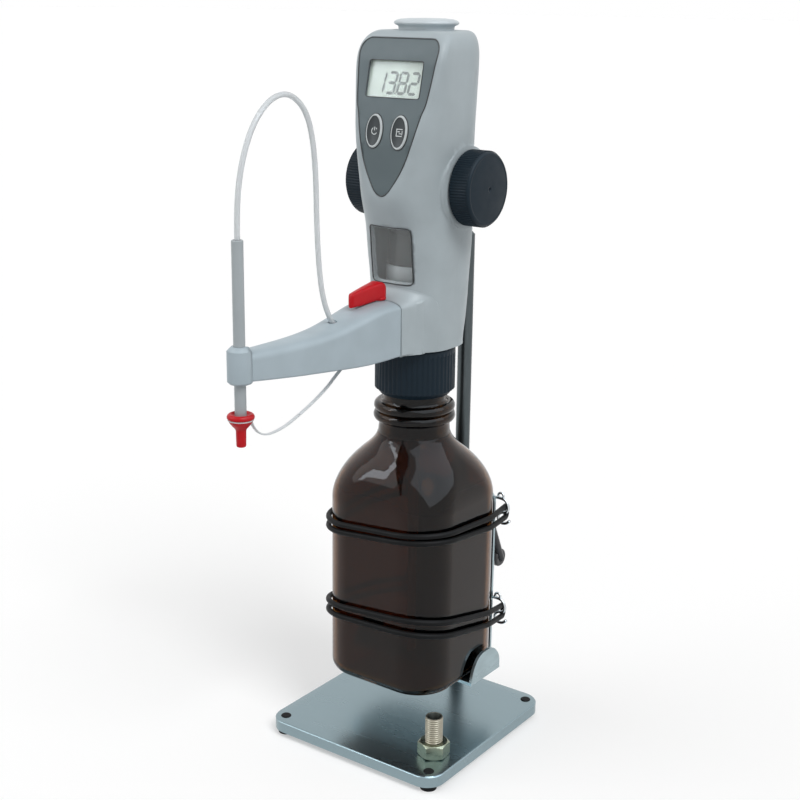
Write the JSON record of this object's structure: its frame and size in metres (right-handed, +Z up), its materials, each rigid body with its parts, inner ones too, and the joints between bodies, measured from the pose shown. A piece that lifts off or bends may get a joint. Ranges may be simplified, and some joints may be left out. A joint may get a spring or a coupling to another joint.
{
  "type": "digital bottle burette",
  "caption": "Digital burette head with two ribbed handwheels, display and swivelling discharge arm, screwed on a square amber bottle that a small rod stand carries",
  "frame": {"origin": "middle of the footprint, on the surface the rubber feet stand on", "axes": "+Z up, along the bottle axis; -Y to the front, where the display and the discharge arm look; +X to the right of someone who faces the display"},
  "size_m": [0.14, 0.2555, 0.4857],
  "materials": {
    "stand_plate": "satin",
    "rubber_foot": "matte",
    "rod_steel": "brushed",
    "zinc": "zinc plated",
    "yellow_zinc": "yellow zinc",
    "bright_disc": "turned",
    "clamp_metal": "satin",
    "screw_steel": "plain",
    "lever_black": "satin",
    "hook_wire": "polished",
    "band_rubber": "matte",
    "amber_glass": "clear amber",
    "gasket": "matte",
    "navy_plastic": "satin",
    "valve_white": "satin",
    "clear_tube": "translucent",
    "clear_glass": "clear",
    "piston_dark": "satin",
    "gear_plastic": "satin",
    "bush_brass": "machined",
    "housing_grey": "fine satin",
    "cap_grey": "satin",
    "panel_grey": "satin",
    "lens_clear": "clear",
    "lcd_green": "gloss",
    "key_grey": "satin",
    "board_green": "satin",
    "battery_skin": "gloss",
    "red_plastic": "gloss",
    "sleeve_grey": "satin",
    "limp_clear": "translucent"
  },
  "bodies": {
    "stand": {"base_plate": "stand_plate", "rubber_feet": "rubber_foot", "stand_rod": "rod_steel", "rod_screw": "rod_steel", "hollow_stud": "yellow_zinc", "stud_nut": "yellow_zinc"},
    "carrier": {"carrier_bracket": "zinc", "clamp_disc": "bright_disc", "rod_clamp": "clamp_metal", "bracket_screws": "screw_steel", "clamp_screw": "rod_steel", "band_hooks": "hook_wire", "elastic_bands": "band_rubber", "bottle": "amber_glass", "neck_gasket": "gasket", "threaded_collar": "navy_plastic"},
    "clamp_handle": {"clamp_lever": "lever_black"},
    "head": {"valve_block": "valve_white", "filling_valve": "valve_white", "suction_tube": "clear_tube", "return_tube": "clear_tube", "cylinder_seat": "valve_white", "glass_cylinder": "clear_glass", "gear_frame": "gear_plastic", "axle_bushes": "bush_brass", "housing_front": "housing_grey", "housing_rear": "housing_grey", "housing_screws": "screw_steel", "inspection_window": "lens_clear", "top_cap": "cap_grey", "display_panel": "panel_grey", "display_lens": "lens_clear", "lcd_module": "lcd_green", "circuit_board": "board_green", "button_switches": "board_green", "batteries": "battery_skin", "discharge_arm": "housing_grey", "tip_holder": "housing_grey", "tether_anchor": "limp_clear", "tether_upper": "limp_clear", "flexible_tubing": "limp_clear"},
    "handwheels": {"left_handwheel": "navy_plastic", "right_handwheel": "navy_plastic", "axle": "rod_steel", "axle_pinion": "gear_plastic"},
    "counter_train": {"counter_gear": "gear_plastic", "counter_shaft": "rod_steel"},
    "piston": {"piston_head": "piston_dark", "piston_seal": "gasket", "toothed_rack": "gear_plastic"},
    "valve_handle": {"valve_lever": "red_plastic", "valve_plug": "valve_white"},
    "power_key": {"power_button": "key_grey"},
    "clear_key": {"clear_button": "key_grey"},
    "titrating_tube": {"titrating_tube": "sleeve_grey", "dosing_tip": "clear_tube"},
    "cap": {"tip_cap": "red_plastic", "tether_ring": "limp_clear", "tether_lower": "limp_clear"},
    "filling_tube": {"telescopic_tube": "clear_tube"}
  },
  "joints": [
    {"name": "carrier_slide", "type": "slide", "parent": "stand", "child": "carrier", "axis": [0, 0, 1], "range_m": [-0.03, 0.18]},
    {"name": "clamp_lever_turn", "type": "hinge", "parent": "carrier", "child": "clamp_handle", "pos_m": [0, 0.12125, 0.11], "axis": [1, 0, 0], "range_deg": [-110, 0]},
    {"name": "head_swivel", "type": "hinge", "parent": "carrier", "child": "head", "pos_m": [0, 0.05125, 0.275], "axis": [0, 0, 1], "range_deg": [-150, 150]},
    {"name": "handwheel_turn", "type": "hinge", "parent": "head", "child": "handwheels", "pos_m": [0, 0.06005, 0.383], "axis": [1, 0, 0], "range_deg": [-1154, 440]},
    {"name": "counter_gear_turn", "type": "hinge", "parent": "head", "child": "counter_train", "pos_m": [0, 0.06005, 0.4022], "axis": [1, 0, 0], "range_deg": [-146.7, 384.7]},
    {"name": "piston_slide", "type": "slide", "parent": "head", "child": "piston", "axis": [0, 0, 1], "range_m": [-0.0376, 0.01434]},
    {"name": "valve_turn", "type": "hinge", "parent": "head", "child": "valve_handle", "pos_m": [0, 0.00925, 0.318], "axis": [0, 0, 1], "range_deg": [-90, 90]},
    {"name": "power_press", "type": "slide", "parent": "head", "child": "power_key", "axis": [0, 0.982, -0.1891], "range_m": [0, 0.0008], "stiffness_N_per_m": 800},
    {"name": "clear_press", "type": "slide", "parent": "head", "child": "clear_key", "axis": [0, 0.982, -0.1891], "range_m": [0, 0.0008], "stiffness_N_per_m": 800},
    {"name": "tube_slide", "type": "slide", "parent": "head", "child": "titrating_tube", "axis": [0, 0, 1], "range_m": [-0.055, 0.016], "deforming": ["flexible_tubing", "tether_upper"]},
    {"name": "cap_pull", "type": "slide", "parent": "titrating_tube", "child": "cap", "axis": [0, 0, 1], "range_m": [-0.02, 0], "deforming": ["tether_lower"]},
    {"name": "filling_tube_slide", "type": "slide", "parent": "head", "child": "filling_tube", "axis": [0, 0, 1], "range_m": [0, 0.045]}
  ],
  "couplings": [
    {"joint": "piston_slide", "follows": "handwheel_turn", "m_per_rad": 0.0018667},
    {"joint": "counter_gear_turn", "follows": "handwheel_turn", "ratio": -0.33333}
  ]
}
